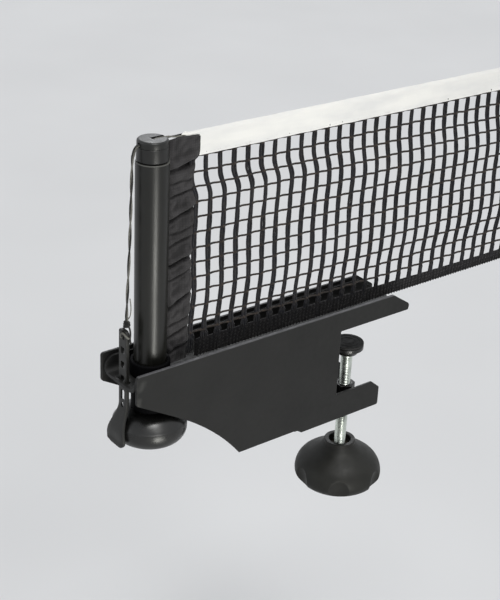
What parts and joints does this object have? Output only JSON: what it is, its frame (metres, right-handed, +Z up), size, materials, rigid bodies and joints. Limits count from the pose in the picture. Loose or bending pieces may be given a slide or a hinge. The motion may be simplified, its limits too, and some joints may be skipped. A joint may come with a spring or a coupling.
{
  "type": "table tennis net clamp",
  "caption": "Screw clamp for a table's edge that carries a table tennis net post, with the net's end, tension cord and strap.",
  "frame": {"origin": "on the table's top, at its edge, in the plane of the net", "axes": "+X along the net towards the middle of the table, +Y away from the front plate, +Z up"},
  "size_m": [0.3399, 0.0614, 0.2881],
  "materials": {
    "black_paint": "matte powder paint",
    "satin_black": "satin paint",
    "black_plastic": "fine moulded grain",
    "strap_plastic": "satin moulded",
    "zinc_steel": "zinc plated",
    "black_steel": "blackened",
    "brass": "turned",
    "rubber": "matte",
    "black_fabric": "woven",
    "white_tape": "smooth woven tape",
    "net_twine": "twisted twine"
  },
  "bodies": {
    "bracket": {"front_side_plate": "black_paint", "back_side_plate": "black_paint", "saddle_channel": "black_paint", "jaw_channel": "black_paint", "jaw_nut": "black_steel", "post_guide_sleeve": "black_plastic", "bearing_bush": "brass", "table_pad": "rubber"},
    "height_knob": {"height_knob": "black_plastic", "height_knob_insert": "brass", "height_stud": "zinc_steel"},
    "post": {"post_tube": "satin_black", "post_cap": "black_plastic", "post_thread_insert": "brass", "net_end_rod": "zinc_steel", "net_end_sleeve": "black_fabric", "net_mesh": "net_twine", "net_top_tape": "white_tape", "net_bottom_hem": "black_fabric", "tension_cord": "net_twine"},
    "strap": {"tension_strap": "strap_plastic", "cord_knot": "net_twine"},
    "clamp_pad": {"pad_shoe": "black_plastic", "pad_face": "rubber", "pad_retaining_ring": "zinc_steel"},
    "clamp_screw": {"clamp_rod": "zinc_steel", "star_knob": "black_plastic", "star_knob_insert": "brass"}
  },
  "joints": [
    {"name": "height_knob_turn", "type": "hinge", "parent": "bracket", "child": "height_knob", "pos_m": [-0.1379, 0, -0.0285], "axis": [0, 0, 1], "range_deg": [-2017, 289]},
    {"name": "post_height", "type": "slide", "parent": "bracket", "child": "post", "axis": [0, 0, 1], "range_m": [-0.001, 0.007]},
    {"name": "strap_tension", "type": "slide", "parent": "post", "child": "strap", "axis": [0, 0, 1], "range_m": [0, 0.0096], "deforming": ["tension_cord"]},
    {"name": "clamp_screw_turn", "type": "hinge", "parent": "clamp_pad", "child": "clamp_screw", "pos_m": [0.025, 0, -0.12], "axis": [0, 0, 1], "range_deg": [-6625, 5761]},
    {"name": "clamp_feed", "type": "slide", "parent": "bracket", "child": "clamp_pad", "axis": [0, 0, 1], "range_m": [-0.023, 0.02]}
  ],
  "couplings": [
    {"joint": "height_knob_turn", "follows": "post_height", "rad_per_m": -5026.5},
    {"joint": "clamp_screw_turn", "follows": "clamp_feed", "rad_per_m": 5026.5}
  ]
}
